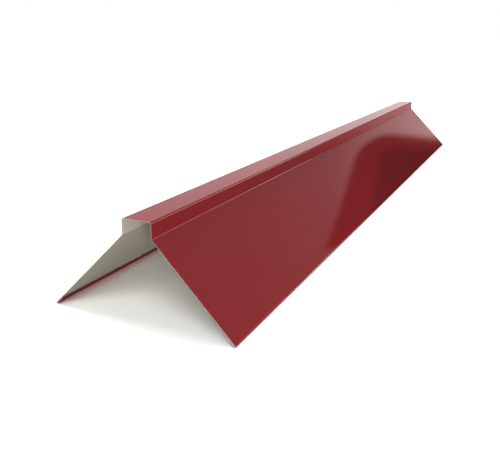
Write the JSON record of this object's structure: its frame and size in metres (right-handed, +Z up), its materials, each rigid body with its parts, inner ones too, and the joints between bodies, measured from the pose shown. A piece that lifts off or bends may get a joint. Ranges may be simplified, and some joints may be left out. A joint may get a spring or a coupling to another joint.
{
  "type": "roof ridge cap",
  "caption": "Folded sheet-steel ridge cap with a raised flat crest, upright walls, sloping flanges and open hems along both edges.",
  "frame": {"origin": "middle of the length and width, on the level that the two hem folds stand on", "axes": "+Y along the ridge, +X across it down one flange, +Z up through the crest"},
  "size_m": [0.251, 1.5, 0.1274],
  "materials": {
    "coated_steel": "satin"
  },
  "bodies": {
    "root": {"ridge_cap": "coated_steel"}
  },
  "joints": []
}
